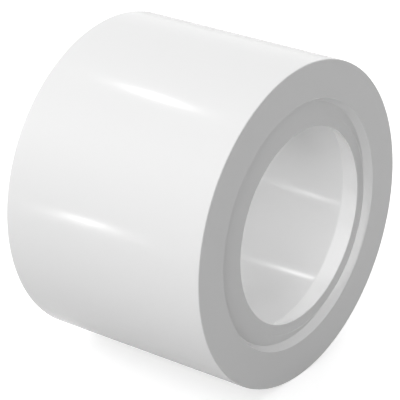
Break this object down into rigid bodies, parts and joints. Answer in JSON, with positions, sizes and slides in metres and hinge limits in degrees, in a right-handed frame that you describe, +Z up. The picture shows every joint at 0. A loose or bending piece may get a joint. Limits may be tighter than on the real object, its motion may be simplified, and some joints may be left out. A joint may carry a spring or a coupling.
{
  "type": "eccentric pipe reducer",
  "caption": "Short plain-bodied eccentric reducer: a cylindrical spigot whose off-centre bore is a push-fit socket with a lip seal and a retaining ring.",
  "frame": {"origin": "centre of the bounding box, on the body's axis halfway between its end faces", "axes": "+X along the body's axis, out of the spigot end; +Z up as the fitting lies on its side; the bore is offset towards +Y and 29 degrees down"},
  "size_m": [0.0532, 0.075, 0.075],
  "materials": {
    "body_white": "glossy moulded polypropylene",
    "seal_rubber": "satin moulded elastomer",
    "ring_white": "glossy moulded polypropylene"
  },
  "bodies": {
    "root": {"reducer_body": "body_white", "pipe_seal": "seal_rubber", "seal_retaining_ring": "ring_white"}
  },
  "joints": []
}
